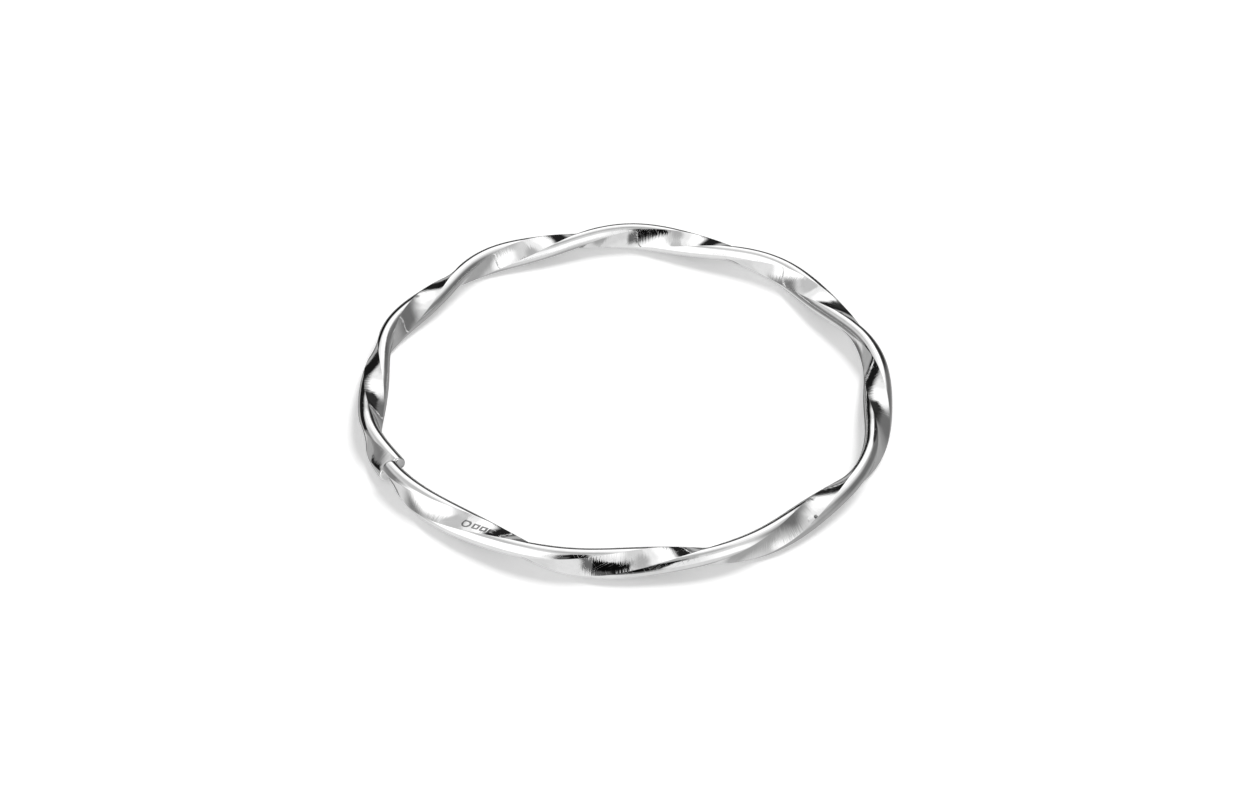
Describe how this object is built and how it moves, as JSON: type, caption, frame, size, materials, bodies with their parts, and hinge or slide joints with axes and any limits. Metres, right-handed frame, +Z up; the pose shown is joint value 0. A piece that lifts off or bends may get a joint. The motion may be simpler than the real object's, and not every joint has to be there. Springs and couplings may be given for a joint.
{
  "type": "slip-on bangle bracelet",
  "caption": "Closed ring of flat metal strip with domed narrow edges, twisted along its length, worn by slipping it over the hand.",
  "frame": {"origin": "centre of the ring, on the surface that the bangle lies on", "axes": "+Z up, along the ring's axis; +X to the right and -Y towards the viewer in the picture; the seam lies 150.5 degrees clockwise from +X as seen from above"},
  "size_m": [0.068, 0.0681, 0.0037],
  "materials": {
    "silver": "solid sterling silver, mirror polished, with faint handling marks"
  },
  "bodies": {
    "root": {"bangle": "silver"}
  },
  "joints": []
}
